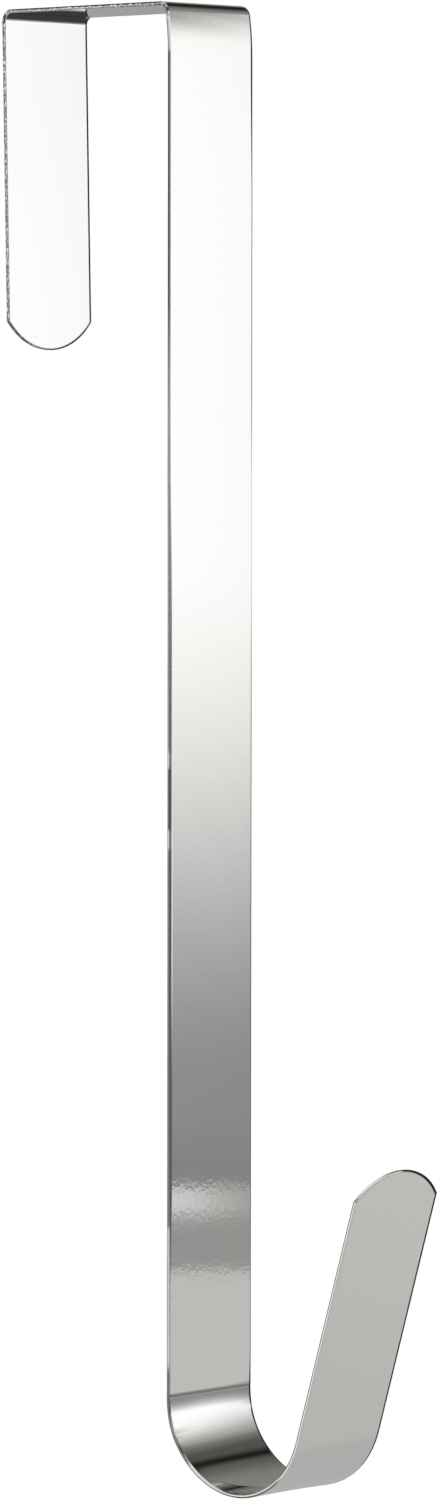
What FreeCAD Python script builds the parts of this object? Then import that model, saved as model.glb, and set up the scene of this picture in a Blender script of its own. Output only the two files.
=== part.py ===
# Over door hook: one flat strip of plated spring steel, folded to hang on the top edge of a door.
#
# The strip runs from the short tongue behind the door, over the door's top edge, straight down
# the door's front face and round a wide hook bend into a leg that leans out from the door.
# Its one section is swept along the fold path, and the two ends are then cut to shallow arcs.
#
# Frame: X across the strip, Y from the front of the door to its back, Z up. The origin is the
# middle of the face that sits on the door's top edge. Lengths are in millimetres, angles in
# degrees.

import FreeCAD, Part
import os
from math import asin, cos, degrees, radians, sin

import Sketcher
from FreeCAD import Placement, Rotation, Vector

# Driving dimensions, each of them a cell of the sheet under the same name

SIZES = {
    # the strip itself
    "strip_width": 25.0,
    "strip_thickness": 0.8,
    "edge_round": 0.2,          # radius along the strip's edges
    # what holds the door
    "door_gap": 48.0,           # clear width between the drop and the top of the tongue
    "tongue_reach": 71.1,       # from the seat down to the tongue's tip
    "tongue_lean": 1.2,         # the tongue leans in, to grip the door
    "rear_corner_radius": 1.7,  # inside radii of the two sharp bends over the door
    "front_corner_radius": 1.7,
    "front_corner_turn": 81.0,  # the sharp part of the front bend
    "easing_radius": 54.0,      # the slow curve that completes its quarter turn
    # what hangs down, and the hook
    "drop_length": 289.0,       # from the seat down to the set-back
    "set_back_radius": 6.0,     # a slight kick towards the door, where the hook bend starts
    "set_back_turn": 3.5,
    "heel_radius": 16.0,        # the hook bend's inside radii, in the order of the path
    "heel_turn": 40.0,
    "belly_radius": 20.0,
    "belly_turn": 45.0,
    "rise_radius": 18.0,
    "leg_lean": 17.3,           # the leg leans out, away from the door
    "leg_length": 59.4,         # its straight stretch, up to the middle of its tip
    # the rounded ends, shallower than a half circle
    "tip_rise": 6.0,            # from the end of the strip's straight sides to the tip
}

# Sketch vocabulary: the ends of a line or an arc are its points 1 and 2, and the sketch's own
# axes count down from -1

START, END = range(1, 3)
HORIZONTAL_AXIS, VERTICAL_AXIS = range(-1, -3, -1)
ORIGIN = (HORIZONTAL_AXIS, START)

doc = FreeCAD.newDocument("over_door_hook")


def make_sheet():
    """Writes the driving dimensions to a sheet, one row each, and names each cell."""
    sheet = doc.addObject("Spreadsheet::Sheet", "Sizes")
    for row, (name, value) in enumerate(SIZES.items(), start=1):
        sheet.set("A%d" % row, name)
        sheet.set("B%d" % row, str(value))
        sheet.setAlias("B%d" % row, name)
    doc.recompute()
    return sheet


def drive(sketch, name, formula, *constraint):
    """Adds a dimension to a sketch and binds it to a formula of the sheet's cells."""
    sketch.addConstraint(Sketcher.Constraint(*constraint))
    sketch.renameConstraint(sketch.ConstraintCount - 1, name)
    sketch.setExpression("Constraints." + name, formula)


def direction(angle):
    return Vector(cos(radians(angle)), sin(radians(angle)), 0)


def arc(centre, radius, begin, end):
    """An arc between two directions from its centre, whichever way it is followed."""
    low, high = sorted((radians(begin), radians(end)))
    return Part.ArcOfCircle(Part.Circle(centre, Vector(0, 0, 1), radius), low, high)


class Fold:
    """Draws a strip's centre line stretch by stretch, each one tangent to the last."""

    def __init__(self, sketch, point, heading):
        self.sketch = sketch
        self.point = point
        self.heading = heading
        self.last = None

    def join(self, shape, first, second):
        index = self.sketch.addGeometry(shape)
        if self.last:
            self.sketch.addConstraint(Sketcher.Constraint("Tangent", *self.last, index, first))
        self.last = (index, second)
        return index

    def straight(self, length):
        begin = self.point
        self.point = begin + direction(self.heading) * length
        return self.join(Part.LineSegment(begin, self.point), START, END)

    def bend(self, radius, turn):
        """An arc, anticlockwise where turn is positive. Its own ends are always anticlockwise."""
        side = 90 if turn > 0 else -90
        centre = self.point + direction(self.heading + side) * radius
        begin = self.heading - side
        self.point = centre + direction(begin + turn) * radius
        self.heading += turn
        ends = (START, END) if turn > 0 else (END, START)
        return self.join(arc(centre, radius, begin, begin + turn), *ends)


def draw_path(body):
    """The centre line, from the tongue's tip over the door and round the hook to the leg's tip.

    The strip's faces lie half its thickness to each side, so every radius is an inside radius
    and that half. The straight stretches are drawn near their lengths, and the dimensions
    bring them to their true ones.
    """
    size = sheet
    half = size.strip_thickness / 2
    sketch = body.newObject("Sketcher::SketchObject", "FoldPath")
    yz_plane = next(item for item in body.Origin.OriginFeatures if item.Role == "YZ_Plane")
    sketch.AttachmentSupport = [(yz_plane, "")]
    sketch.MapMode = "FlatFace"

    tip = Vector(size.door_gap / 2 - size.tongue_reach * sin(radians(size.tongue_lean)),
                 -size.tongue_reach, 0)
    fold = Fold(sketch, tip, 90 - size.tongue_lean)
    tongue = fold.straight(size.tongue_reach - size.rear_corner_radius)
    rear_corner = fold.bend(size.rear_corner_radius + half, 90 + size.tongue_lean)
    bridge = fold.straight(size.door_gap - size.rear_corner_radius - size.front_corner_radius)
    front_corner = fold.bend(size.front_corner_radius + half, size.front_corner_turn)
    easing = fold.bend(size.easing_radius + half, 90 - size.front_corner_turn)
    drop = fold.straight(size.drop_length + fold.point.y)
    set_back = fold.bend(size.set_back_radius + half, size.set_back_turn)
    heel = fold.bend(size.heel_radius + half, -size.heel_turn)
    belly = fold.bend(size.belly_radius + half, -size.belly_turn)
    leg_heading = 90 + size.leg_lean
    rise = fold.bend(size.rise_radius + half, leg_heading - fold.heading)
    leg = fold.straight(size.leg_length)

    radii = {
        "rear_corner_radius": rear_corner,
        "front_corner_radius": front_corner,
        "easing_radius": easing,
        "set_back_radius": set_back,
        "heel_radius": heel,
        "belly_radius": belly,
        "rise_radius": rise,
    }
    for name, index in radii.items():
        formula = "Sizes.%s + Sizes.strip_thickness / 2" % name
        drive(sketch, name, formula, "Radius", index, size.get(name) + half)

    turns = {
        "front_corner_turn": front_corner,
        "set_back_turn": set_back,
        "heel_turn": heel,
        "belly_turn": belly,
    }
    for name, index in turns.items():
        drive(sketch, name, "Sizes." + name, "Angle", index, radians(size.get(name)))

    tongue_heading = radians(90 - size.tongue_lean)
    drive(sketch, "tongue_heading", "90 - Sizes.tongue_lean", "Angle", tongue, tongue_heading)
    drive(sketch, "leg_heading", "90 + Sizes.leg_lean", "Angle", leg, radians(leg_heading))
    sketch.addConstraint(Sketcher.Constraint("Horizontal", bridge))
    sketch.addConstraint(Sketcher.Constraint("Vertical", drop))

    offset = size.door_gap / 2 + half
    wall = "(Sizes.door_gap + Sizes.strip_thickness) / 2"
    drive(sketch, "bridge_level", "Sizes.strip_thickness / 2",
          "DistanceY", *ORIGIN, bridge, START, half)
    drive(sketch, "tongue_wall", wall, "DistanceX", *ORIGIN, tongue, END, offset)
    drive(sketch, "drop_wall", wall, "DistanceX", drop, START, *ORIGIN, offset)
    drive(sketch, "tongue_reach", "Sizes.tongue_reach",
          "DistanceY", tongue, START, *ORIGIN, size.tongue_reach)
    drive(sketch, "drop_length", "Sizes.drop_length",
          "DistanceY", drop, END, *ORIGIN, size.drop_length)
    drive(sketch, "leg_length", "Sizes.leg_length", "Distance", leg, size.leg_length)
    return sketch


def draw_section(body, path):
    """The strip's section, a rectangle with rounded corners, square to the path at its start."""
    size = sheet
    wide = size.strip_width / 2
    thick = size.strip_thickness / 2
    corner = size.edge_round
    sketch = body.newObject("Sketcher::SketchObject", "StripSection")
    sketch.AttachmentSupport = [(path, "Edge1")]
    sketch.MapMode = "NormalToEdge"

    # One straight side and the corner that follows it, four times round, anticlockwise
    sides = []
    corners = []
    for turn, (reach, half_side) in enumerate([(thick, wide), (wide, thick)] * 2):
        along = direction(90 * turn)
        out = direction(90 * turn - 90)
        inner = half_side - corner
        begin = out * reach - along * inner
        end = out * reach + along * inner
        sides.append(sketch.addGeometry(Part.LineSegment(begin, end)))
        centre = end - out * corner
        heading = 90 * turn - 90
        corners.append(sketch.addGeometry(arc(centre, corner, heading, heading + 90)))
    for turn in range(4):
        following = sides[(turn + 1) % 4]
        for pair in ((sides[turn], END, corners[turn], START),
                     (corners[turn], END, following, START)):
            sketch.addConstraint(Sketcher.Constraint("Tangent", *pair))
    lower, right, upper, left = sides
    sketch.addConstraint(Sketcher.Constraint("Horizontal", lower))
    sketch.addConstraint(Sketcher.Constraint("Vertical", right))
    sketch.addConstraint(Sketcher.Constraint("Horizontal", upper))
    sketch.addConstraint(Sketcher.Constraint("Vertical", left))
    for index in corners[1:]:
        sketch.addConstraint(Sketcher.Constraint("Equal", corners[0], index))
    middle = Sketcher.Constraint("Symmetric", lower, START, upper, START, *ORIGIN)
    sketch.addConstraint(middle)
    drive(sketch, "edge_round", "Sizes.edge_round", "Radius", corners[0], corner)
    drive(sketch, "strip_width", "Sizes.strip_width",
          "DistanceX", left, START, right, START, 2 * wide)
    drive(sketch, "strip_thickness", "Sizes.strip_thickness",
          "DistanceY", lower, START, upper, START, 2 * thick)
    return sketch


def sweep_strip(body, path, section):
    strip = body.newObject("PartDesign::AdditivePipe", "FoldedStrip")
    strip.Profile = (section, [""])
    strip.Spine = (path, [""])
    doc.recompute()


def cut_tip(body, path, name, edge, at_end):
    """Cuts one end of the strip to an arc, through the end's middle and across the whole width.

    The sketch lies in the strip's middle plane there, with its origin at the end of the path
    and its vertical axis pointing out of the strip.
    """
    size = sheet
    wide = size.strip_width / 2
    rise = size.tip_rise
    radius = (wide * wide + rise * rise) / (2 * rise)
    spread = degrees(asin(wide / radius))
    sketch = body.newObject("Sketcher::SketchObject", name + "Outline")
    sketch.AttachmentSupport = [(path, edge)]
    sketch.MapMode = "NormalToEdge"
    sketch.MapPathParameter = 1 if at_end else 0
    outward = -90 if at_end else 90
    sketch.AttachmentOffset = Placement(Vector(), Rotation(Vector(1, 0, 0), outward))

    # The waste is what the arc and a frame round the end's corners enclose.
    tip = sketch.addGeometry(arc(Vector(0, -radius, 0), radius, 90 - spread, 90 + spread))
    corners = [(-wide, -rise), (-wide - rise, -rise), (-wide - rise, rise),
               (wide + rise, rise), (wide + rise, -rise), (wide, -rise)]
    points = [Vector(x, y, 0) for x, y in corners]
    frame = [sketch.addGeometry(Part.LineSegment(*pair)) for pair in zip(points, points[1:])]
    for first, second in zip([tip] + frame, frame + [tip]):
        sketch.addConstraint(Sketcher.Constraint("Coincident", first, END, second, START))
    for index in frame[0::2]:
        sketch.addConstraint(Sketcher.Constraint("Horizontal", index))
    for index in frame[1::2]:
        sketch.addConstraint(Sketcher.Constraint("Vertical", index))
    sketch.addConstraint(Sketcher.Constraint("PointOnObject", *ORIGIN, tip))
    sketch.addConstraint(Sketcher.Constraint("Symmetric", tip, START, tip, END, VERTICAL_AXIS))
    drive(sketch, "width", "Sizes.strip_width", "DistanceX", tip, END, tip, START, 2 * wide)
    drive(sketch, "rise", "Sizes.tip_rise", "DistanceY", tip, END, *ORIGIN, rise)
    left_ledge, left_side, _, _, right_ledge = frame
    drive(sketch, "left_ledge", "Sizes.tip_rise", "Distance", left_ledge, rise)
    drive(sketch, "right_ledge", "Sizes.tip_rise", "Distance", right_ledge, rise)
    drive(sketch, "frame_height", "2 * Sizes.tip_rise", "Distance", left_side, 2 * rise)
    doc.recompute()

    cut = body.newObject("PartDesign::Pocket", name + "Tip")
    cut.Profile = (sketch, [""])
    cut.SideType = "Symmetric"
    cut.setExpression("Length", "4 * Sizes.strip_thickness")
    doc.recompute()
    return cut


def round_tips(body, cut):
    """Rounds both tips' edges like the strip's long ones.

    A tip's end face is the only one curved about an axis square to X and wider than the strip.
    """
    shape = cut.Shape
    edges = []
    for face in shape.Faces:
        surface = face.Surface
        if surface.TypeId != "Part::GeomCylinder":
            continue
        if surface.Radius > sheet.strip_width / 2 and abs(surface.Axis.x) < 0.5:
            edges += face.Edges
    numbers = [n for n, edge in enumerate(shape.Edges, start=1)
               if any(edge.isSame(other) for other in edges)]
    rounds = body.newObject("PartDesign::Fillet", "TipRounds")
    rounds.Base = (cut, ["Edge%d" % n for n in numbers])
    rounds.setExpression("Radius", "Sizes.edge_round")
    doc.recompute()


def build_strip():
    body = doc.addObject("PartDesign::Body", "hook_strip")
    body.Label = "hook_strip"
    path = draw_path(body)
    doc.recompute()
    section = draw_section(body, path)
    doc.recompute()
    sweep_strip(body, path, section)
    last_edge = "Edge%d" % len(path.Shape.Edges)
    cut_tip(body, path, "Tongue", "Edge1", at_end=False)
    cut = cut_tip(body, path, "Leg", last_edge, at_end=True)
    round_tips(body, cut)
    return body


def check_document():
    for item in doc.Objects:
        failed = {"Invalid", "Error"} & set(item.State)
        if failed:
            raise RuntimeError("%s is %s" % (item.Label, ", ".join(sorted(failed))))


def write_part(part):
    shape = part.Shape
    if shape.isNull() or not shape.isValid() or len(shape.Solids) != 1:
        raise RuntimeError(part.Label + " is not one sound solid")
    os.makedirs("parts", exist_ok=True)
    shape.exportStep("parts/%s.step" % part.Label)
    box = shape.optimalBoundingBox()
    print("%s: %.1f mm3, %d faces" % (part.Label, shape.Volume, len(shape.Faces)))
    print("from %.3f, %.3f, %.3f" % (box.XMin, box.YMin, box.ZMin))
    print("to %.3f, %.3f, %.3f" % (box.XMax, box.YMax, box.ZMax))


sheet = make_sheet()
hook_strip = build_strip()
check_document()
write_part(hook_strip)
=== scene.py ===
# %% [markdown]
# # An over-door hook in bright plated steel
#
# The object is one flat steel strip, 25 mm wide and 0.8 mm thick, folded cold: a short tongue
# behind the door, a bridge on its top edge, a long drop down the front, a wide hook bend and a
# leg that leans outwards. Then it was plated, so it is a long bent mirror.
#
# A mirror shows its surroundings, so half of this lesson builds the strip and its finish, and
# the other half builds the studio that it reflects. The first cell loads the engineering model,
# whose box every piece here has to keep to.

# %% The frame: the engineering model, in metres
from math import cos, radians, sin

import bpy
import numpy as np
from mathutils import Matrix, Vector


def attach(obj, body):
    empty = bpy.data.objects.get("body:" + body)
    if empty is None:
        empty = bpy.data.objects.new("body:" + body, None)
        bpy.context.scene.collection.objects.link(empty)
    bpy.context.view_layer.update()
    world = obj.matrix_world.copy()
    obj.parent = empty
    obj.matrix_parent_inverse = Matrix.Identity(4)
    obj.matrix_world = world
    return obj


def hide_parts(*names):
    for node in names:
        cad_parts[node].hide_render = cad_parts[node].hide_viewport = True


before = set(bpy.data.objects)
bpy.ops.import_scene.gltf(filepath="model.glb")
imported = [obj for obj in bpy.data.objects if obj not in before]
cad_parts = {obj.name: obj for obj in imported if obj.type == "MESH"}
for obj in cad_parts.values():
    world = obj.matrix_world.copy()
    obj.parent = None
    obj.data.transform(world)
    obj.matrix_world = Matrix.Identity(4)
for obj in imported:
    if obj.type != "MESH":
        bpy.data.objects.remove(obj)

scene = bpy.context.scene
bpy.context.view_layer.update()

# %% [markdown]
# ## The camera
#
# The viewpoint comes first, because every reflection depends on it. It was found by matching
# the outline of the strip with its picture: a very long lens, 46 degrees round to the left of
# the door's front and 3 degrees above the middle of the hook. The lens is written as the
# picture's own focal length in pixels, and Blender wants it in millimetres of a 36 mm sensor,
# which lies along the picture's long side.

# %% The camera
FRAME_HEIGHT = 1500
SENSOR_SIZE = 36.0
FOCAL_PIXELS = 6808.28
CAMERA_AZIMUTH = radians(-46.372)
CAMERA_ELEVATION = radians(2.983)
CAMERA_ROLL = radians(0.068)
CAMERA_DISTANCE = 1.43331
AIM_RIGHT = 0.019631
AIM_UP = -0.155476


def camera_axes(azimuth, elevation, roll):
    """Right, up and back of a camera that looks at the z axis from that azimuth and height.

    Back points from the object to the camera. Right is level before the roll turns it.
    """
    back = Vector((sin(azimuth) * cos(elevation), -cos(azimuth) * cos(elevation), sin(elevation)))
    right = (-back).cross(Vector((0, 0, 1))).normalized()
    up = back.cross(right)
    return (cos(roll) * right + sin(roll) * up, cos(roll) * up - sin(roll) * right, back)


right, up, back = camera_axes(CAMERA_AZIMUTH, CAMERA_ELEVATION, CAMERA_ROLL)
camera_data = bpy.data.cameras.new("camera")
camera_data.sensor_width = SENSOR_SIZE
camera_data.lens = FOCAL_PIXELS / FRAME_HEIGHT * SENSOR_SIZE
camera = bpy.data.objects.new("camera", camera_data)
place = AIM_RIGHT * right + AIM_UP * up + CAMERA_DISTANCE * back
camera.matrix_world = Matrix.Translation(place) @ Matrix((right, up, back)).transposed().to_4x4()
scene.collection.objects.link(camera)
scene.camera = camera
print("camera at", [round(value, 4) for value in place], "lens", round(camera_data.lens, 1))

# %% [markdown]
# ## The fold path
#
# The real strip is bent on a press, one bend after another, so its side view is straight
# stretches joined by arcs. The same list of stretches describes it here: each entry is a length
# and a turn, which is nothing on a straight. Anticlockwise turns are positive, in a view with
# the door's front on the left. The radii are inside radii, as a press tool has them, and half
# the thickness is added for the centre line.

# %% The sizes of the strip
WIDTH = 0.025
THICKNESS = 0.0008
HALF = THICKNESS / 2
DOOR_GAP = 0.048
TONGUE_REACH = 0.0711
TONGUE_LEAN = radians(1.2)
CORNER_RADIUS = 0.0017
FRONT_TURN = radians(81)
EASING_RADIUS = 0.054
DROP_LENGTH = 0.289
SET_BACK = (0.006, radians(3.5))
HEEL = (0.016, radians(-40))
BELLY = (0.020, radians(-45))
RISE_RADIUS = 0.018
LEG_LEAN = radians(17.3)
LEG_LENGTH = 0.0594
print("strip", WIDTH * 1000, "by", THICKNESS * 1000, "mm, door gap", DOOR_GAP * 1000, "mm")

# %% [markdown]
# The press left a mark where the heel begins: a short flat, a sharp little bend, and an easing
# before the heel's own round. On a mirror it is a plain dark line across the strip, so it is
# worth three stretches. The heel still has to end where one plain bend would, or the whole leg
# would move, and the radii of the easing and of the heel's round are worked out from that.

# %% The press mark in the heel
MARK_FLAT = 0.0005
MARK = (0.001, radians(-6.25))
MARK_EASING = radians(-3.25)


def marked_heel():
    """The heel's stretches: a short flat, the press mark, an easing, and the bend itself.

    The last two radii are what makes the heel end where one plain bend of HEEL would. A bend
    of radius r from heading a to b travels r times (sin a - sin b) along and r times
    (cos b - cos a) across, so they are the two unknowns of two linear equations.
    """
    edges = np.cumsum([0.0, -MARK[1], -MARK_EASING, MARK[1] + MARK_EASING - HEEL[1]])
    travel = np.stack([np.diff(np.sin(edges)), -np.diff(np.cos(edges))])
    plain = (HEEL[0] + HALF) * np.array([sin(-HEEL[1]), 1 - cos(HEEL[1])])
    known = (MARK[0] + HALF) * travel[:, 0] + [MARK_FLAT, 0.0]
    easing, bend = np.linalg.solve(travel[:, 1:], plain - known)
    mark_turn, easing_turn, bend_turn = -np.diff(edges)
    return {"heel flat": (MARK_FLAT, 0.0),
            "press mark": ((MARK[0] + HALF) * abs(mark_turn), mark_turn),
            "heel easing": (easing * abs(easing_turn), easing_turn),
            "heel": (bend * abs(bend_turn), bend_turn)}


for name, (length, turn) in marked_heel().items():
    print(name, round(length * 1000, 2), "mm, turn", round(np.degrees(turn), 2), "degrees")

# %% [markdown]
# The sizes above are those that a drawing of the hook would state. It wouldn't state the
# straights between two bends: they are what the bends leave of the door gap and of the drop.

# %% The stretches in order


def arc(radius, turn):
    """Length and turn of a bend: its centre-line radius times the angle it turns."""
    return ((radius + HALF) * abs(turn), turn)


def tongue_length():
    """Length of the tongue's straight: its height below the corner, over the lean's cosine."""
    corner_height = HALF - (CORNER_RADIUS + HALF) * (1 + sin(TONGUE_LEAN))
    return (TONGUE_REACH + corner_height) / cos(TONGUE_LEAN)


def fold_stretches():
    """The strip's stretches from the tongue's tip to the leg's tip, each a length and a turn.

    The bridge is the door gap less what the two corners and the easing travel along it, and
    the drop is its full length less what they fall.
    """
    corner = CORNER_RADIUS + HALF
    easing = EASING_RADIUS + HALF
    rear_travel = corner * cos(TONGUE_LEAN)
    front_travel = corner * sin(FRONT_TURN) + easing * (1 - sin(FRONT_TURN))
    bridge = DOOR_GAP + THICKNESS - rear_travel - front_travel
    front_fall = corner * (1 - cos(FRONT_TURN)) + easing * cos(FRONT_TURN)
    drop = DROP_LENGTH + HALF - front_fall
    turned_so_far = radians(180) + SET_BACK[1] + HEEL[1] + BELLY[1]
    return {"tongue": (tongue_length(), 0.0),
            "rear corner": arc(CORNER_RADIUS, radians(90) + TONGUE_LEAN),
            "bridge": (bridge, 0.0),
            "front corner": arc(CORNER_RADIUS, FRONT_TURN),
            "easing": arc(EASING_RADIUS, radians(90) - FRONT_TURN),
            "drop": (drop, 0.0),
            "set-back": arc(*SET_BACK),
            **marked_heel(),
            "belly": arc(*BELLY),
            "rise": arc(RISE_RADIUS, LEG_LEAN - turned_so_far),
            "leg": (LEG_LENGTH, 0.0)}


STRETCHES = fold_stretches()
NAMES = list(STRETCHES)
STARTS = np.concatenate([[0.0], np.cumsum([length for length, _ in STRETCHES.values()])])
TOTAL = STARTS[-1]


def start_of(name):
    """Distance from the tongue's tip to where the stretch of that name begins."""
    return STARTS[NAMES.index(name)]


print("strip length", round(TOTAL * 1000, 1), "mm in", len(STRETCHES), "stretches")

# %% [markdown]
# A point of the centre line is found from its distance along the strip. Within one stretch the
# heading turns evenly, so the point is the integral of the heading's cosine and sine: for a
# turn k per metre that is (sin(h + k d) - sin h) / k, and simply d cos h where k is nothing.
# Both cases are one formula when it is written with the chord: the chord of an arc of length d
# is d times sin(x) / x, with x half the angle it turns, and it points along the mean heading.

# %% The centre line as a function


def along_stretch(travel, stretch, begin, begin_heading):
    """Point and heading after some travel along one stretch, straight or arc.

    The point is the stretch's beginning plus the chord: travel * sinc(turned / 2), along the
    heading half way through the turn.
    """
    length, turn = stretch
    turned = turn * travel / length
    chord = travel * np.sinc(turned / 2 / np.pi)
    middle = begin_heading + turned / 2
    step = np.stack([chord * np.cos(middle), chord * np.sin(middle)], axis=-1)
    return begin + step, begin_heading + turned


def centre_line(distance):
    """Point (y, z) and heading of the centre line at each distance from the tongue's tip.

    Each stretch fills in the distances that lie on it, from the end of the one before. The
    first and the last also take what lies beyond the tips.
    """
    distance = np.asarray(distance, float)
    point = np.zeros(distance.shape + (2,))
    heading = np.zeros(distance.shape)
    begin_heading = radians(90) - TONGUE_LEAN
    begin = np.array([DOOR_GAP / 2 + HALF - tongue_length() * sin(TONGUE_LEAN), -TONGUE_REACH])
    last = len(STRETCHES) - 1
    for number, stretch in enumerate(STRETCHES.values()):
        low = -np.inf if number == 0 else STARTS[number]
        high = np.inf if number == last else STARTS[number + 1]
        here = (distance >= low) & (distance < high)
        travel = distance[here] - STARTS[number]
        point[here], heading[here] = along_stretch(travel, stretch, begin, begin_heading)
        begin, begin_heading = along_stretch(np.array(stretch[0]), stretch, begin, begin_heading)
    return point, heading


tip_point, tip_heading = centre_line(np.array([0.0, TOTAL]))
print("tips at (y, z) mm:", np.round(tip_point * 1000, 2).tolist())
print("headings there in degrees:", np.round(np.degrees(tip_heading), 1).tolist())

# %% [markdown]
# ## The strip's skin
#
# The tips are shallow arcs, not half circles, and every edge is slightly rounded. So the strip
# is easiest as a flat outline, like a long tongue depressor, that is then bent along the path.
# A point of the flat strip has a place across (x), a place along (distance) and a height above
# the middle layer, and one function folds all of them at once.
#
# The shear that cut the strip pulled its faces down with it, over the last third of a
# millimetre, and more where the shear was worn. That roll-over mirrors the far sides of the
# studio and draws the thin dark line along the outline, so it is worth making it uneven.

# %% The flat outline, with its tips and its worn shear
TIP_RISE = 0.006
TIP_RADIUS = (WIDTH ** 2 / 4 + TIP_RISE ** 2) / (2 * TIP_RISE)
TIP_BLEND = 0.022
LEFT_WEAR = 1.3
LEFT_BEGINS = (0.21, 0.25)
LEFT_ENDS = (0.36, 0.39)
RIGHT_WEAR = 0.9
RIGHT_ENDS = (0.13, 0.16)
RIGHT_RETURNS = (0.40, 0.41)


def rise(value, low, high):
    """0 up to low, 1 from high on, and 3 v^2 - 2 v^3 between, with v the share of the way."""
    share = np.clip((value - low) / (high - low), 0, 1)
    return share * share * (3 - 2 * share)


def rolled(across, station):
    """How many times wider the edge's roll-over is, because the shear was worn unevenly.

    It is wider low on the drop's left, and on the right of the tongue, the hook and the leg.
    """
    left = rise(station, *LEFT_BEGINS) * (1 - rise(station, *LEFT_ENDS))
    right = 1 - rise(station, *RIGHT_ENDS) + rise(station, *RIGHT_RETURNS)
    return 1 + LEFT_WEAR * left * rise(-across, 0, 1) + RIGHT_WEAR * right * rise(across, 0, 1)


def flat_place(across, station, inset):
    """Where a grid point lies on the flat strip: (x, distance along).

    across runs from -1 to 1 and scales the half width, less the inset. Rows are straight in
    the strip's middle. Towards a tip they take up its arc: the row moves in by the arc's
    sagitta at x, R - sqrt((R - inset)^2 - x^2), times how near the tip it is.
    """
    inset = inset * rolled(across, station)
    x = across * (WIDTH / 2 - inset)
    sagitta = TIP_RADIUS - np.sqrt((TIP_RADIUS - inset) ** 2 - x ** 2)
    start = 1 - rise(station, 0, TIP_BLEND)
    end = 1 - rise(TOTAL - station, 0, TIP_BLEND)
    return x, station + sagitta * start - sagitta * end


print("tip radius", round(TIP_RADIUS * 1000, 1), "mm")

# %% [markdown]
# Bent metal grows wider on the inside of a bend and narrower on the outside, and that bows the
# strip across. It is only a seventh of a millimetre here, but it tips the mirror at the edges
# of the hook bend, and the dark lines across it curve as they do on the real one.

# %% The bow, and folding flat points into place
BOW = 1.0
BOW_FADE = 0.008


def bow(x, distance):
    """How far the middle of the strip stands in from its edges, over the hook bend.

    A parabola, BOW times (half width squared less x squared), that fades in at the heel and
    out at the leg.
    """
    from_heel = distance - start_of("heel flat")
    to_leg = start_of("leg") - distance
    fade = rise(from_heel, 0, BOW_FADE) * rise(to_leg, 0, BOW_FADE)
    return BOW * fade * (WIDTH ** 2 / 4 - x ** 2)


def fold(x, distance, height):
    """Flat points bent along the path: the centre line's point, plus height along its normal.

    The normal is the heading turned a quarter clockwise: the front of the drop, the top of
    the bridge and the inside of the hook.
    """
    height = height + bow(x, distance)
    point, heading = centre_line(distance)
    y = point[..., 0] + height * np.sin(heading)
    z = point[..., 1] - height * np.cos(heading)
    return np.stack([np.broadcast_to(x, y.shape), y, z], axis=-1)


print("bow at mid-width", round(BOW * WIDTH ** 2 / 4 * 1000, 2), "mm")

# %% [markdown]
# The rows are closer together where the strip bends, so that the bends stay smooth mirrors.
# Next to each rounded edge lies one row or column more, a twentieth of a millimetre in: smooth
# shading then turns the normal only inside that line, and the flat faces reflect as flats.

# %% Rows and columns of the grid
ROW_STEP = 0.0008
TURN_STEP = radians(2.5)
HOLD = 0.00005
COLUMNS = 22


def row_stations():
    """Distances of the rows: even steps within each stretch, finer where it turns."""
    rows = []
    for start, (length, turn) in zip(STARTS, STRETCHES.values()):
        count = max(int(np.ceil(length / ROW_STEP)), int(np.ceil(abs(turn) / TURN_STEP)))
        rows.append(start + length * np.arange(count) / count)
    rows = np.concatenate(rows + [[TOTAL]])
    return np.sort(np.concatenate([rows, [HOLD, TOTAL - HOLD]]))


def column_places():
    """Places across, from -1 to 1, with a holding column just inside each edge."""
    hold = 1 - HOLD / (WIDTH / 2)
    return np.concatenate([[-1.0], np.linspace(-hold, hold, COLUMNS), [1.0]])


STATIONS = row_stations()
ACROSS = column_places()
print("grid:", len(STATIONS), "rows by", len(ACROSS), "columns")

# %% [markdown]
# The sheared edge could be a plain round, but then its highlight would run on evenly. A real
# one has three parts: the face rolls over by 32 degrees, turns sharply, and is cut flat. The
# profile is made of those two arcs and the flat, and is carried all the way round the outline.

# %% The edge's profile
EDGE_ROUND = 0.0002
ROLL_RADIUS = 0.00057
ROLL_TURN = radians(32)
ROLL_STEPS = 4
ROUND_STEPS = 3
FLAT_STEPS = 3
CUT_HALF = HALF - ROLL_RADIUS * (1 - cos(ROLL_TURN)) - EDGE_ROUND * cos(ROLL_TURN)
EDGE_INSET = ROLL_RADIUS * sin(ROLL_TURN) + EDGE_ROUND * (1 - sin(ROLL_TURN))


def edge_profile():
    """Inset and height of the edge's profile, from the front face round to the back face.

    An arc of the roll-over's radius through its turn, an arc of the edge's radius on to 90
    degrees, the flat of the cut, and the same again upside down. The third list says where the
    profile is cut metal: 0 on the face, 1 on the flat.
    """
    roll = np.linspace(0, ROLL_TURN, ROLL_STEPS + 1)
    turn = np.linspace(ROLL_TURN, np.pi / 2, ROUND_STEPS + 1)[1:]
    inset = np.concatenate([EDGE_INSET - ROLL_RADIUS * np.sin(roll),
                            EDGE_ROUND * (1 - np.sin(turn))])
    height = np.concatenate([HALF - ROLL_RADIUS * (1 - np.cos(roll)),
                             CUT_HALF + EDGE_ROUND * np.cos(turn)])
    flat = np.linspace(CUT_HALF, -CUT_HALF, FLAT_STEPS + 1)[1:-1]
    cut = 1 - inset / EDGE_INSET
    return (np.concatenate([inset, np.zeros(len(flat)), inset[::-1]]),
            np.concatenate([height, flat, -height[::-1]]),
            np.concatenate([cut, np.ones(len(flat)), cut[::-1]]))


print("edge: flat", round(2 * CUT_HALF * 1000, 2), "mm, inset", round(EDGE_INSET * 1000, 2), "mm")

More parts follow.
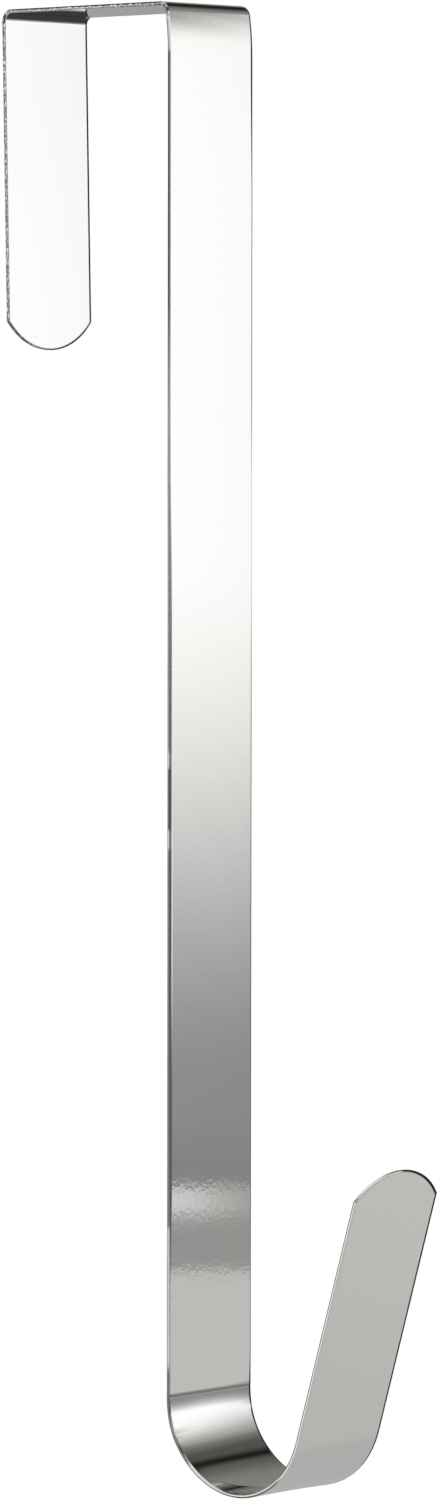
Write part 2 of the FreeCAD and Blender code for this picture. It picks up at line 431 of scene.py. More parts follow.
# %% [markdown]
# The cut edge isn't evenly bright either. Along most of the drop it is painted dark, as painted
# shade, in stretches, some of which end where the strip was nicked, and on the tongue and the
# bridge the shear marks show as painted glints. Each of these is a number for each distance along
# the strip, 0 for none of it, and is kept on the mesh's vertices, because it follows the piece
# and not space.

# %% Painted shade on the cut edge, stretch by stretch
# Painted shade: each stretch's share of the dark colour painted on the cut, where it begins and
# ends, and its soft ends.
LEAST_EDGE_SHADE = 0.06
SHADED_STRETCHES = {
    "tongue": (0.80, 0.0, start_of("rear corner"), 0.003),
    "bridge": (0.50, start_of("rear corner"), start_of("easing"), 0.003),
    "upper drop": (0.40, start_of("drop"), 0.175, 0.03),
    "drop down to the upper nick": (0.50, start_of("drop"), 0.2725, 0.001),
    "between the nicks": (0.75, 0.2765, 0.289, 0.0005),
    "drop below the lower nick": (0.64, 0.2936, 0.372, 0.0005),
    "heel": (0.75, 0.403, 0.4225, 0.002)}
# Painted glints: how strongly the shear marks' bright flecks clear the painted shade.
LEAST_SHEAR_GLINT = 0.06
SHEAR_GLINT_FADE = 0.004


def between(distance, begin, end, soft):
    """1 from begin to end along the strip, with soft ends of that length outside them."""
    return rise(distance, begin - soft, begin) * (1 - rise(distance, end, end + soft))


def painted_edge_shade(distance):
    """Painted shade on the cut at each distance: the least, plus each stretch's own share."""
    return LEAST_EDGE_SHADE + sum(share * between(distance, begin, end, soft)
                            for share, begin, end, soft in SHADED_STRETCHES.values())


def shear_glint_along(distance):
    """How strongly the shear marks' painted glints show: plainly on the tongue and the bridge
    only.
    """
    plain = between(distance, 0.0, start_of("easing"), SHEAR_GLINT_FADE)
    return LEAST_SHEAR_GLINT + (1 - LEAST_SHEAR_GLINT) * plain


# Prints how many stretches of painted shade the cut edge has.
print(len(SHADED_STRETCHES), "dull stretches on an edge of", round(TOTAL * 1000), "mm")

# %% [markdown]
# Painted shade darkens one of the cut's two corners: the back's from the front bend down to the
# hook, and the front's elsewhere. On the strip's right the other corner has a painted dark
# hairline too, where the roll-over ends.

# %% Painted shade on the corners of the cut edge
# Painted shade on one corner of the cut: its span on the back, darkness, reach and depths.
SHADED_BACK = (start_of("easing"), 0.45)
SIDE_FADE = 0.003
CORNER_SHADE = 0.95
CORNER_SHADE_REACH = 0.0004
CORNER_SHADE_DEPTHS = (0.000025, 0.000075)
UNSHADED_TIP = 0.006
# Painted shade: a dark hairline on the other corner, at the right, where the roll-over ends.
HAIRLINE = 1.8
HAIRLINE_DEPTHS = (0.0000005, 0.0000105)
HAIRLINE_HEIGHT = 0.9 * CUT_HALF
FAINT_HAIRLINE = 0.1
UPPER_HAIRLINE = (0.0, 0.14, 0.03)
LOWER_HAIRLINE = (0.40, TOTAL, 0.01)


def shaded_side(distance, height):
    """1 at heights on the side whose corner is painted dark: the back's on the drop, and the
    front's elsewhere.
    """
    back = between(distance, *SHADED_BACK, SIDE_FADE)
    return np.where(height < 0, back, 1 - back)


def corner_shade(distance, height):
    """How dark the corner is painted, as painted shade: it fades over the flat and ends just
    below the face.
    """
    corner = rise(np.abs(height), CUT_HALF - CORNER_SHADE_REACH, CUT_HALF)
    corner = corner * rise(HALF - np.abs(height), *CORNER_SHADE_DEPTHS) * (distance < TOTAL - UNSHADED_TIP)
    return CORNER_SHADE * corner * shaded_side(distance, height)


def hairline(distance, height):
    """How dark the painted dark line on the other corner is, a painted shade, faint on the drop
    below its top.
    """
    strength = between(distance, *UPPER_HAIRLINE) + between(distance, *LOWER_HAIRLINE)
    strength = FAINT_HAIRLINE + (1 - FAINT_HAIRLINE) * strength
    line = rise(HALF - np.abs(height), *HAIRLINE_DEPTHS) * (np.abs(height) > HAIRLINE_HEIGHT)
    return HAIRLINE * strength * line * shaded_side(distance, -height)


def edge_shade(x, distance, height):
    """The darkest of the three painted shades at each point of the edge. Only the right has the
    hairline.
    """
    line = hairline(distance, height) * (x > 0)
    return np.maximum(painted_edge_shade(distance), np.maximum(corner_shade(distance, height), line))


# Prints where the corner's painted shade lies on the back.
print("burned corner at the back from", np.round(SHADED_BACK, 3).tolist(), "m along")

# %% [markdown]
# The skin is three grids that share their borders: a front face, a back face, and a band that
# carries the edge's profile all the way round the outline. The band's first and last rings are
# the borders of the two faces, so the mesh is closed without merging anything.

# %% The skin's mesh


def grid_faces(index):
    """The quads of a grid of vertex numbers, each one corner, next in row, diagonal, next row."""
    return np.stack([index[:-1, :-1], index[:-1, 1:], index[1:, 1:], index[1:, :-1]],
                    axis=-1).reshape(-1, 4)


def outline_order(rows, columns):
    """Row and column numbers round a grid's border, each corner once, as one closed loop."""
    down, along = np.arange(rows), np.arange(columns)
    row = np.concatenate([np.zeros(columns - 1), down[:-1],
                          np.full(columns - 1, rows - 1), down[:0:-1]]).astype(int)
    column = np.concatenate([along[:-1], np.full(rows - 1, columns - 1),
                             along[:0:-1], np.zeros(rows - 1)]).astype(int)
    return row, column


def skin_faces(shape, border, rings):
    """The quads of the front grid, the back grid and the band of rings between their borders.

    Vertices are numbered in that order. The back grid and the band are turned over, so that
    all faces point outwards.
    """
    front = np.arange(shape[0] * shape[1]).reshape(shape)
    rear = front + front.size
    ring = 2 * front.size + np.arange(rings * len(border[0])).reshape(rings, -1)
    band = np.vstack([front[border], ring, rear[border]])
    band = np.hstack([band, band[:, :1]])
    return np.vstack([grid_faces(front), grid_faces(rear)[:, ::-1], grid_faces(band)[:, ::-1]])


def keep_value(mesh, name, on_face, on_ring):
    """Keeps a number on each vertex: the same on both faces, and another on the band."""
    values = np.concatenate([on_face.ravel(), on_face.ravel(), on_ring.ravel()])
    mesh.attributes.new(name, "FLOAT", "POINT").data.foreach_set("value", values)


def keep_map(mesh, across, along):
    """Keeps the map "strip", in metres across and along, for each corner of each face."""
    corner_vertex = np.zeros(len(mesh.loops), int)
    mesh.loops.foreach_get("vertex_index", corner_vertex)
    places = np.stack([across, along], axis=-1)[corner_vertex]
    mesh.uv_layers.new(name="strip").uv.foreach_set("vector", places.ravel())


def strip_mesh(name):
    """The whole skin as one closed mesh, with its own map, its cut edge and that edge's painted
    shade.

    The flat places of the faces and of the rings are folded at their own heights. The map
    lays the back beside the front, one width over, and the edge along each side.
    """
    inset, height, cut = [part[1:-1, None] for part in edge_profile()]
    station, across = np.meshgrid(STATIONS, ACROSS, indexing="ij")
    border = outline_order(*station.shape)
    x, along = flat_place(across, station, EDGE_INSET)
    ring_x, ring_along = flat_place(across[border], station[border], inset)
    points = [fold(x, along, HALF), fold(x, along, -HALF), fold(ring_x, ring_along, height)]
    points = np.vstack([grid.reshape(-1, 3) for grid in points])

    mesh = bpy.data.meshes.new(name)
    mesh.from_pydata(points, [], skin_faces(x.shape, border, len(height)))
    mesh.update()
    mesh.shade_smooth()

    edge_across = np.sign(ring_x) * WIDTH / 2 + height
    keep_map(mesh, np.concatenate([x.ravel(), x.ravel() + WIDTH, edge_across.ravel()]),
             np.concatenate([along.ravel(), along.ravel(), ring_along.ravel()]))
    keep_value(mesh, "cut", np.zeros(x.shape), np.broadcast_to(cut, ring_x.shape))
    # Painted shade of the cut edge, and where the shear marks show painted glints, kept on the
    # vertices.
    keep_value(mesh, "painted_edge_shade", painted_edge_shade(along), edge_shade(ring_x, ring_along, height))
    keep_value(mesh, "shear_glint", shear_glint_along(along), shear_glint_along(ring_along))
    return mesh


strip = bpy.data.objects.new("folded_strip", strip_mesh("folded_strip"))
scene.collection.objects.link(strip)
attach(strip, "root")
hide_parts("hook_strip")
print("strip:", len(strip.data.vertices), "vertices,", len(strip.data.polygons), "faces")

# %% [markdown]
# ## The plating
#
# Bright nickel or chrome over rolled steel is nearly a mirror, but never quite: the plating has
# a faint orange peel, and the steel under it long soft waves. The sheared edge has small shear
# marks. These are bumps of microns, so they are a Bump node's height and not mesh. Each effect
# is a node group of its own, and a few helpers keep the nodes short to write.

# %% Small helpers for shader nodes


def make_group(name, inputs, outputs):
    """An empty shader group with float or vector sockets and its two end nodes."""
    group = bpy.data.node_groups.new(name, "ShaderNodeTree")
    for label, kind, value in inputs:
        socket = group.interface.new_socket(label, in_out="INPUT", socket_type=kind)
        if value is not None:
            socket.default_value = value
    for label, kind in outputs:
        group.interface.new_socket(label, in_out="OUTPUT", socket_type=kind)
    return group, group.nodes.new("NodeGroupInput"), group.nodes.new("NodeGroupOutput")


def node(tree, kind, settings=None, **values):
    """A node with its properties and the values of its unlinked sockets."""
    made = tree.nodes.new(kind)
    for label, value in (settings or {}).items():
        setattr(made, label, value)
    for label, value in values.items():
        made.inputs[label.replace("_", " ")].default_value = value
    return made


def math(tree, operation, first, second=None):
    """A Math node: each input is a socket to link or a number to set."""
    made = node(tree, "ShaderNodeMath", {"operation": operation})
    for slot, value in enumerate([first, second]):
        if isinstance(value, bpy.types.NodeSocket):
            tree.links.new(value, made.inputs[slot])
        elif value is not None:
            made.inputs[slot].default_value = value
    return made.outputs[0]


# %% [markdown]
# Orange peel is the name for a gloss that isn't quite level. It has no direction, so soft noise
# in space does it, and the same group serves twice: fine for the plating, and broad for the
# waves of the rolled steel.

# %% Orange peel


def orange_peel_group():
    """Height in metres of a ripple: soft noise of the given size, times the given depth."""
    group, start, end = make_group(
        "orange peel",
        [("Vector", "NodeSocketVector", None), ("Size", "NodeSocketFloat", 0.002),
         ("Depth", "NodeSocketFloat", 0.000001)],
        [("Height", "NodeSocketFloat")])
    noise = node(group, "ShaderNodeTexNoise", Detail=2.0, Roughness=0.5)
    group.links.new(start.outputs["Vector"], noise.inputs["Vector"])
    group.links.new(math(group, "DIVIDE", 1.0, start.outputs["Size"]), noise.inputs["Scale"])
    height = math(group, "MULTIPLY", noise.outputs["Fac"], start.outputs["Depth"])
    group.links.new(height, end.inputs["Height"])
    return group


ORANGE_PEEL = orange_peel_group()
print("orange peel:", len(ORANGE_PEEL.nodes), "nodes")

# %% [markdown]
# Shear marks are scratches that the blade leaves on the cut, longer than they are wide. They
# follow the strip through its bends, so this group reads the strip's own map and not space.

# %% Shear marks
SHEAR_LENGTH = 0.0009
SHEAR_WIDTH = 0.0003
FLECK_FROM = 0.535
FLECK_TO = 0.57


def shear_marks_group():
    """Marks drawn out along the cut edge: a mask of flecks for painted glints, and a height in
    metres.

    The strip's own map is divided by the marks' width across and length along, so that noise
    of size one on it is long and narrow on the strip.
    """
    group, start, end = make_group(
        "shear marks",
        [("Strip Map", "NodeSocketVector", None), ("Depth", "NodeSocketFloat", 0.00001)],
        [("Fleck", "NodeSocketFloat"), ("Height", "NodeSocketFloat")])
    stretch = node(group, "ShaderNodeVectorMath", {"operation": "DIVIDE"})
    stretch.inputs[1].default_value = (SHEAR_WIDTH, SHEAR_LENGTH, 1.0)
    noise = node(group, "ShaderNodeTexNoise", Scale=1.0, Detail=3.0, Roughness=0.6)
    group.links.new(start.outputs["Strip Map"], stretch.inputs[0])
    group.links.new(stretch.outputs["Vector"], noise.inputs["Vector"])
    fleck = node(group, "ShaderNodeMapRange", {"interpolation_type": "SMOOTHSTEP"},
                 From_Min=FLECK_FROM, From_Max=FLECK_TO)
    group.links.new(noise.outputs["Fac"], fleck.inputs["Value"])
    group.links.new(fleck.outputs["Result"], end.inputs["Fleck"])
    group.links.new(math(group, "MULTIPLY", noise.outputs["Fac"], start.outputs["Depth"]),
                    end.inputs["Height"])
    return group


SHEAR_MARKS = shear_marks_group()
print("shear marks:", len(SHEAR_MARKS.nodes), "nodes")

# %% [markdown]
# The material puts them together. The faces are bright and smooth. The cut is rougher, and is
# darkened by painted shade, except where a fleck of the shear marks is painted bright as a
# painted glint. A thin dark outline of painted shade lies half way between face and cut, where
# the mask times one minus the mask is largest.

# %% The plated steel
PLATE_COLOUR = (0.905, 0.905, 0.900, 1.0)
# Painted shade: the near-black colour painted on the cut and on the thin outline.
EDGE_SHADE_COLOUR = (0.050, 0.052, 0.054, 1.0)
PLATE_ROUGHNESS = 0.025
CUT_ROUGHNESS = 0.25
FINE_PEEL = {"Size": 0.0009, "Depth": 2.4e-6}
BROAD_PEEL = {"Size": 0.016, "Depth": 5e-6}
SHEAR_DEPTH = 2e-5
# Painted shade: how dark the thin outline between face and cut is painted.
OUTLINE_DARKNESS = 1.2
OUTLINE_LEAST = 0.1
# Painted glints: how much a fleck of the shear marks clears the painted shade.
FLECK_CLEARS = 0.96


def edge_darkness(tree, cut, fleck):
    """How much of the painted shade colour shows: the painted outline or the cut's painted shade,
    less the painted glints.
    """
    shaded, shear_glint = [node(tree, "ShaderNodeAttribute", {"attribute_name": name}).outputs["Fac"]
                      for name in ("painted_edge_shade", "shear_glint")]
    outline = math(tree, "MULTIPLY", cut, math(tree, "SUBTRACT", 1.0, cut))
    outline = math(tree, "MULTIPLY", outline, OUTLINE_DARKNESS)
    outline = math(tree, "MULTIPLY", outline, math(tree, "ADD", shaded, OUTLINE_LEAST))
    dark = math(tree, "MAXIMUM", outline, math(tree, "MULTIPLY", cut, shaded))
    flecks = math(tree, "MULTIPLY", fleck, shear_glint)
    clear = math(tree, "SUBTRACT", 1.0, math(tree, "MULTIPLY", flecks, FLECK_CLEARS))
    return math(tree, "MULTIPLY", dark, clear)


def plated_steel():
    """Mirror plating on the faces, and rougher plating with shear marks, painted shade and
    painted glints on the cut.
    """
    material = bpy.data.materials.new("plated_steel")
    material.use_nodes = True
    tree = material.node_tree
    shader = tree.nodes["Principled BSDF"]
    shader.inputs["Metallic"].default_value = 1.0
    place = node(tree, "ShaderNodeTexCoord")
    strip_map = node(tree, "ShaderNodeUVMap", {"uv_map": "strip"})
    cut = node(tree, "ShaderNodeAttribute", {"attribute_name": "cut"}).outputs["Fac"]
    fine = node(tree, "ShaderNodeGroup", {"node_tree": ORANGE_PEEL}, **FINE_PEEL)
    broad = node(tree, "ShaderNodeGroup", {"node_tree": ORANGE_PEEL}, **BROAD_PEEL)
    marks = node(tree, "ShaderNodeGroup", {"node_tree": SHEAR_MARKS}, Depth=SHEAR_DEPTH)
    for group in (fine, broad):
        tree.links.new(place.outputs["Object"], group.inputs["Vector"])
    tree.links.new(strip_map.outputs["UV"], marks.inputs["Strip Map"])

    colour = node(tree, "ShaderNodeMix", {"data_type": "RGBA", "clamp_factor": True})
    colour.inputs["A"].default_value = PLATE_COLOUR
    colour.inputs["B"].default_value = EDGE_SHADE_COLOUR
    tree.links.new(edge_darkness(tree, cut, marks.outputs["Fleck"]), colour.inputs["Factor"])
    tree.links.new(colour.outputs["Result"], shader.inputs["Base Color"])
    rough = node(tree, "ShaderNodeMapRange", To_Min=PLATE_ROUGHNESS, To_Max=CUT_ROUGHNESS)
    tree.links.new(cut, rough.inputs["Value"])
    tree.links.new(rough.outputs["Result"], shader.inputs["Roughness"])

    height = math(tree, "ADD", fine.outputs["Height"], broad.outputs["Height"])
    cut_height = math(tree, "MULTIPLY", marks.outputs["Height"], cut)
    bump = node(tree, "ShaderNodeBump", Strength=1.0, Distance=1.0)
    tree.links.new(math(tree, "ADD", height, cut_height), bump.inputs["Height"])
    tree.links.new(bump.outputs["Normal"], shader.inputs["Normal"])
    return material


strip.data.materials.append(plated_steel())
print("material:", strip.data.materials[0].name)

# %% [markdown]
# ## The studio
#
# A photographer shoots bright metal inside a light tent: cloth all round, lit white in places,
# grey or black in others, so that the metal has something to reflect. The tent here is a ball
# of 1.25 m radius round the hook that only reflections can see. Its brightness is a function of
# two things, the azimuth round the hook and the height, so it is a numpy grid like the strip,
# with the brightness kept on its vertices. Azimuth 0 is in front of the door, 90 is to the
# right, and the camera stands at -46. A flat face that looks straight out of the door then
# shows the camera what stands at +46, which is why the brightest cloth hangs there.
#
# All angles below are degrees. Cloths are hung from the back to the front: each one covers what
# hangs behind it.

# %% Soft edges and panels


def panel(level, cover, shade):
    """Hangs a panel over the tent's cloth: cover is 1 where it hides what is behind it."""
    return level + cover * (shade - level)


def window(value, low, high, soft):
    """1 between low and high, with soft edges of that width centred on them."""
    return (rise(value, low - soft / 2, low + soft / 2)
            * (1 - rise(value, high - soft / 2, high + soft / 2)))


print("half way up a soft edge:", window(np.array([30.0]), 30, 60, 10)[0])

# %% [markdown]
# The key cloth hangs where the drop looks. The drop's top shows what is 8 degrees above the
# horizon, and its foot what is 15 degrees below. So the cloth's shading, from white to grey at
# its hem 10 degrees down, is what the drop shows over its upper three quarters. The heel and
# the belly look upwards and to the right, and show the rest of it: round to the far side, and
# up to where it is gathered.

# %% The key cloth
WHITE = 1.10


def side_fade(azimuth):
    """Brightness from the key cloth round to the far side: white, through grey, to black.

    Each term is one cloth's soft shadow. The narrow black gap near 87 degrees is where the
    tent's two halves meet.
    """
    return (WHITE - 0.558 * rise(azimuth, 45, 57) - 0.308 * rise(azimuth, 53, 66)
            - 0.144 * rise(azimuth, 60, 74) - 0.077 * rise(azimuth, 77.5, 87)
            + 0.093 * rise(azimuth, 87.5, 97) + 0.126 * rise(azimuth, 94, 122)
            + 0.13 * rise(azimuth, 127, 137))


def gathered(azimuth, latitude):
    """How far the cloth is gathered up overhead, where little light comes through.

    The gathers begin higher, and more sharply, the further round to the right they are.
    """
    line = (13 + 2 * rise(azimuth, 47.4, 48.4) + 7 * rise(azimuth, 48.8, 50.2)
            + 8 * rise(azimuth, 51, 56) + 10.5 * rise(azimuth, 54, 82))
    soft = 11 - 5 * rise(azimuth, 48.8, 50.2) - 3 * rise(azimuth, 60, 82)
    return rise(latitude, line, line + soft)


def key_cloth(level, azimuth, latitude):
    """The big cloth from the front round to the right: white, and grey towards its hem.

    Its hem hangs 3 degrees higher to the right of azimuth 48.
    """
    lowered = latitude - 3 * rise(azimuth, 47.1, 48.5)
    key = 0.264 + 0.736 * rise(lowered, -9.6, 0.6) - 0.03 * rise(latitude, 6, 12)
    key = side_fade(azimuth) * key
    key = panel(key, gathered(azimuth, latitude), 0.25 - 0.235 * rise(azimuth, 46, 90))
    return panel(level, rise(azimuth, -30, -10) * (1 - rise(azimuth, 150, 175)), key)


print("key cloth at 3 degrees above and 8 below the horizon:",
      np.round(key_cloth(0.0, np.array([46.4, 46.4]), np.array([3.0, -8.0])), 2).tolist())

# %% [markdown]
# Under the key cloth's hem stands what the lower drop shows: a dark gap, the bright line of a
# lamp's tube, and a pale table below. Lower still are a dark crease, which the set-back and the
# press mark catch, and a grey floor to the right for the rise and the leg. The hook's underside
# looks over the edge of that floor into the dark. In these angles the edge is a parabola.

# %% What stands below the key cloth


def arch(azimuth):
    """Latitude of the right-hand floor's edge: a parabola, lowest at azimuth 90."""
    return -45 + ((azimuth - 90) / 8.3) ** 2


def lamp_tube(azimuth, latitude):
    """The lamp's tube: a bright line and a glow under it on grey, weaker to the right."""
    line = window(latitude, -11.56, -11.09, 0.07)
    glow = 0.30 * rise(latitude, -11.95, -11.50) * rise(-latitude, 11.52, 11.60)
    return 0.31 + (0.35 - 0.28 * rise(azimuth, 45.7, 47.3)) * (line + glow)


def low_cloths(level, azimuth, latitude):
    """The gap, the lamp's tube, the table, the crease in it, and the right-hand floor."""
    front = window(azimuth, -20, 95, 10)
    level = panel(level, front * rise(-latitude, 9.5, 10.8), 0.25)
    level = panel(level, front * rise(-latitude, 10.98, 11.06), lamp_tube(azimuth, latitude))
    table = 0.55 - 0.05 * rise(-latitude, 31, 36.5)
    level = panel(level, window(azimuth, -60, 150, 20) * rise(-latitude, 12.48, 12.66), table)
    crease_top = -15.9 + 0.8 * rise(azimuth, 46.6, 47.2)
    crease = rise(crease_top - latitude, -0.4, 0.4) * rise(latitude, -20, -19)
    crease_shade = 0.36 - 0.16 * rise(-latitude, 17.3, 18.2)
    level = panel(level, window(azimuth, -20, 60, 10) * crease, crease_shade)
    floor_edge = rise(arch(azimuth) - latitude, -2, 2)
    return panel(level, rise(azimuth, 55, 68) * floor_edge, 0.455)


print("arch at azimuths 60, 90 and 120:", np.round(arch(np.array([60, 90, 120])), 1).tolist())

# %% [markdown]
# The left side is for the edges. The roll-over on the strip's left turns its mirror from the
# key cloth towards the camera and past it, so a dark flag from azimuth -90 to 41 draws the dark
# line along the outline, with a white strip beside it. The flat of the cut looks at azimuth
# -134, and a white cloth hangs there.

# %% What hangs on the left


def left_cloths(level, azimuth, latitude):
    """White for the cut, white above, the dark flag below, and the white strip beside it.

    The flag's top edge slopes down to the right.
    """
    level = panel(level, window(azimuth, -152, -95, 6) * (1 - rise(latitude, 17, 23)), 1.0)
    level = panel(level, window(azimuth, -95, 40, 6) * rise(latitude, -1, 8), 1.0)
    flag_top = 4.2 - 0.04 * (azimuth + 60)
    flag = rise(flag_top - latitude, -0.5, 0.5) * rise(latitude, -12.7, -12.3)
    level = panel(level, window(azimuth, -90, 41.5, 3) * flag, 0.15)
    return panel(level, window(azimuth, 35, 43.5, 3) * window(latitude, -8, 3, 2), 1.0)


print("left side at azimuths -134 and 0 on the horizon:",
      np.round(left_cloths(0.5, np.array([-134.0, 0.0]), np.zeros(2)), 2).tolist())

# %% [markdown]
# The right-hand edge turns the other way, and looks at a light band on the horizon and a black
# one above it. Behind the door the tent is black, with an opening straight behind, and it is
# black overhead too, under a white roof. Without those dark parts the tips and the right edges
# would vanish against the white surroundings.

# %% What hangs behind, on the right and overhead


def far_cloths(level, azimuth, latitude):
    """Black behind with an opening, a light and a black band on the right, and the roof."""
    behind = 1 - window(azimuth, -152, 141, 3)
    opening = rise(azimuth, 163, 168) + rise(-azimuth, 172, 177)
    level = panel(level, behind * (1 - 0.9 * opening), 0.05)
    high_behind = (1 - window(azimuth, -130, 134, 8)) * rise(latitude, 19, 23)
    level = panel(level, high_behind, 0.05)
    level = panel(level, window(azimuth, 52, 125, 6) * window(latitude, -1, 2.2, 1.5), 0.90)
    level = panel(level, window(azimuth, 54, 128, 2) * window(latitude, 2.6, 12, 1.2), 0.03)
    level = panel(level, window(azimuth, -132, 44, 8) * rise(latitude, 24, 30), 0.04)
    level = panel(level, rise(latitude, 55, 60), 1.0)
    over_floor = rise(latitude - arch(azimuth), -2, 2) * rise(-latitude, 1, 9)
    right = rise(azimuth, 47.8, 55) * (1 - rise(azimuth, 122, 135))
    return panel(level, right * over_floor, 0.045)


def tent_level(azimuth, latitude):
    """Brightness of the tent: plain cloth, paler above, and all that hangs in front of it."""
    level = 0.50 + 0.30 * rise(latitude, -25, 20)
    for cloths in (key_cloth, low_cloths, left_cloths, far_cloths):
        level = cloths(level, azimuth, latitude)
    return level


compass = np.arange(-180, 180, 45.0)
print("brightness on the horizon, from azimuth -180 in steps of 45:",
      np.round(tent_level(compass, np.zeros(len(compass))), 2).tolist())

# %% [markdown]
# White cloths are never the same white. A neutral tent looks drawn, so each region has a slight
# cast: warm takes blue away, cool takes red away, and neither by more than a few per cent.

# %% The tent's tint
WARM_RED = 0.018
WARM_BLUE = 0.045


def key_warmth(azimuth, latitude):
    """The key cloth's own cast: warm half way down, cool near its hem, and warm below it."""
    cool = window(azimuth, 45.7, 60, 0.3) * window(latitude, -9.4, -5.6, 2.4)
    tube = rise(azimuth, 46.0, 47.0) * window(latitude, -12.4, -11.0, 0.2)
    return (0.60 * window(latitude, -4.6, -1.2, 2.4) - 0.90 * cool + 0.80 * tube
            + 0.60 * rise(-latitude, 12.4, 12.7) + 0.6 * rise(latitude, 12, 18))


def tent_tint(azimuth, latitude):
    """The tent's colour: 1 for neutral, with a warm cast, or a cool one where warmth is under 0.

    Red grows by WARM_RED and blue falls by WARM_BLUE for each unit of warmth.
    """
    key = window(azimuth, -20, 60, 10)
    warmth = panel(0.6, key, 0.15) + key * key_warmth(azimuth, latitude)
    warmth = warmth + 1.2 * rise(azimuth, 56, 70) * rise(latitude, 15, 25)
    warmth = panel(warmth, rise(azimuth, 58, 110) * rise(-latitude, 36, 47), -0.4)
    return np.stack([1 + WARM_RED * warmth, np.ones_like(warmth), 1 - WARM_BLUE * warmth],
                    axis=-1)


print("tint half way down the key cloth:",
      np.round(tent_tint(np.array([46.0]), np.array([-3.0])), 3).tolist())

# %% [markdown]
# The ball's grid is fine only where the cloths have sharp edges that the strip shows: round
# azimuth 50, and from 13 to 10 degrees below the horizon, where the lamp's tube is. Elsewhere
# longer steps are plenty.

# %% The tent
TENT_RADIUS = 1.25
TENT_CENTRE = (0.0, -0.03, -0.15)
AZIMUTHS = [np.arange(-180, 36, 3.0), np.arange(36, 44, 1.0), np.arange(44, 60, 0.25),
            np.arange(60, 180.5, 1.5)]
LATITUDES = [np.arange(-90, -52, 2.0), np.arange(-52, -20, 0.5), np.arange(-20, -13, 0.1),
             np.arange(-13, -10.5, 0.04), np.arange(-10.5, 9, 0.25), np.arange(9, 60, 0.5),
             np.arange(60, 90.5, 2.0)]


def tent_mesh():
    """A ball: azimuth across the grid's columns, and latitude up its rows.

    A point is the centre plus the radius times (cos l sin a, -cos l cos a, sin l).
    """
    azimuth, latitude = np.meshgrid(np.concatenate(AZIMUTHS),
                                    np.radians(np.concatenate(LATITUDES)), indexing="xy")
    turn = np.radians(azimuth)
    reach = TENT_RADIUS * np.cos(latitude)
    height = TENT_CENTRE[2] + TENT_RADIUS * np.sin(latitude)
    points = np.stack([TENT_CENTRE[0] + reach * np.sin(turn),
                       TENT_CENTRE[1] - reach * np.cos(turn), height], axis=-1)
    index = np.arange(azimuth.size).reshape(azimuth.shape)
    mesh = bpy.data.meshes.new("light_tent")
    mesh.from_pydata(points.reshape(-1, 3), [], grid_faces(index))
    level = tent_level(azimuth, np.degrees(latitude))
    colour = level[..., None] * tent_tint(azimuth, np.degrees(latitude))
    colour = np.concatenate([colour, np.ones(level.shape + (1,))], axis=-1)
    shade = mesh.attributes.new("shade", "FLOAT_COLOR", "POINT")
    shade.data.foreach_set("color", colour.ravel())
    return mesh


def tent_material():
    """Plain glowing cloth whose colour is the one kept on the vertices."""
    material = bpy.data.materials.new("tent_cloth")
    material.use_nodes = True
    tree = material.node_tree
    tree.nodes.clear()
    glow = node(tree, "ShaderNodeEmission")
    shade = node(tree, "ShaderNodeAttribute", {"attribute_name": "shade"})
    end = node(tree, "ShaderNodeOutputMaterial")
    tree.links.new(shade.outputs["Color"], glow.inputs["Color"])
    tree.links.new(glow.outputs["Emission"], end.inputs["Surface"])
    return material


def only_in_reflections(thing):
    """Hides an object from the camera, from shadows and from scattered light."""
    thing.visible_camera = False
    thing.visible_diffuse = False
    thing.visible_shadow = False


tent = bpy.data.objects.new("light_tent", tent_mesh())
tent.data.materials.append(tent_material())
scene.collection.objects.link(tent)
only_in_reflections(tent)
print("tent:", len(tent.data.vertices), "vertices")

# %% [markdown]
# The picture's background is plain white. The world gives it, but a world that bright would
# also light the floor flat, so what lights the floor is a little less. Light Path tells the two
# apart: it knows whether a ray comes from the camera, or from metal or glass.

# %% The white surroundings
SURROUNDINGS = 0.9


def seen_directly(tree):
    """1 for a ray from the camera, from metal or through glass, and 0 for scattered light."""
    path = node(tree, "ShaderNodeLightPath")
    seen = math(tree, "MAXIMUM", path.outputs["Is Camera Ray"], path.outputs["Is Glossy Ray"])
    return math(tree, "MAXIMUM", seen, path.outputs["Is Transmission Ray"])


def white_world():
    """White for the camera and in reflections, and a little less as light on the floor."""
    world = bpy.data.worlds.new("studio")
    world.use_nodes = True
    tree = world.node_tree
    strength = node(tree, "ShaderNodeMapRange", To_Min=SURROUNDINGS, To_Max=1.0)
    tree.links.new(seen_directly(tree), strength.inputs["Value"])
    background = tree.nodes["Background"]
    background.inputs["Color"].default_value = (1, 1, 1, 1)
    tree.links.new(strength.outputs["Result"], background.inputs["Strength"])
    return world


scene.world = white_world()
scene.view_settings.view_transform = "Standard"
print("world:", scene.world.name, "view:", scene.view_settings.view_transform)

# %% [markdown]
# The hook hangs in the air, so the floor is far below and only ever seen from above. Real white
# paper would come out grey, so it glows for the camera and is paper for the rest of the light.

# %% The floor
FLOOR_HEIGHT = -0.76
FLOOR_SIZE = 12.0
PAPER_WHITE = 0.9
PAPER_ROUGHNESS = 0.9
PAPER_GLOW = 1.06
GLOW_SHARE = 0.75


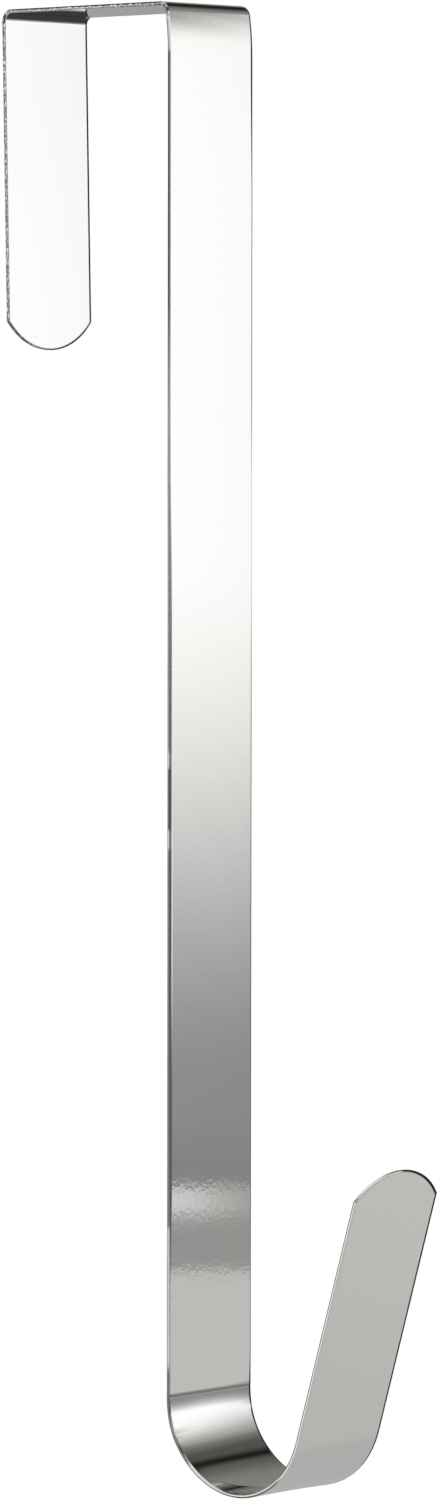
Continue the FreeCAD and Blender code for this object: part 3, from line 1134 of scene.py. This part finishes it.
def floor_material():
    """Pale paper that takes the shadow, and mostly glows white for the camera."""
    material = bpy.data.materials.new("pale_floor")
    material.use_nodes = True
    tree = material.node_tree
    paper = tree.nodes["Principled BSDF"]
    paper.inputs["Base Color"].default_value = (PAPER_WHITE, PAPER_WHITE, PAPER_WHITE, 1.0)
    paper.inputs["Roughness"].default_value = PAPER_ROUGHNESS
    glow = node(tree, "ShaderNodeEmission", Strength=PAPER_GLOW)
    mix = node(tree, "ShaderNodeMixShader")
    tree.links.new(math(tree, "MULTIPLY", seen_directly(tree), GLOW_SHARE), mix.inputs["Fac"])
    tree.links.new(paper.outputs["BSDF"], mix.inputs[1])
    tree.links.new(glow.outputs["Emission"], mix.inputs[2])
    tree.links.new(mix.outputs["Shader"], tree.nodes["Material Output"].inputs["Surface"])
    return material


floor_mesh = bpy.data.meshes.new("floor")
half_floor = FLOOR_SIZE / 2
corners = [(-half_floor, -half_floor, FLOOR_HEIGHT), (half_floor, -half_floor, FLOOR_HEIGHT),
           (half_floor, half_floor, FLOOR_HEIGHT), (-half_floor, half_floor, FLOOR_HEIGHT)]
floor_mesh.from_pydata(corners, [], [(0, 1, 2, 3)])
floor = bpy.data.objects.new("floor", floor_mesh)
floor.data.materials.append(floor_material())
floor.visible_glossy = False
scene.collection.objects.link(floor)
print("floor:", FLOOR_SIZE, "m square at", FLOOR_HEIGHT, "m")

# %% [markdown]
# One wide lamp overhead gives the floor a soft shadow. The metal doesn't show it, because the
# tent is all that the metal should show.

# %% One soft lamp from above
LAMP_POWER = 20.0
LAMP_SIZE = 0.6
LAMP_PLACE = (-0.4, -0.6, 1.2)


def soft_lamp(name, position, target, size, power):
    """A round lamp of that diameter, turned so that its -Z axis points at the target."""
    data = bpy.data.lights.new(name, "AREA")
    data.shape = "DISK"
    data.size = size
    data.energy = power
    lamp = bpy.data.objects.new(name, data)
    aim = Vector(target) - Vector(position)
    lamp.matrix_world = (Matrix.Translation(position)
                         @ aim.to_track_quat("-Z", "Y").to_matrix().to_4x4())
    lamp.visible_glossy = False
    scene.collection.objects.link(lamp)
    return lamp


lamp = soft_lamp("overhead", LAMP_PLACE, TENT_CENTRE, LAMP_SIZE, LAMP_POWER)
print("lamp:", lamp.name, LAMP_POWER, "W")
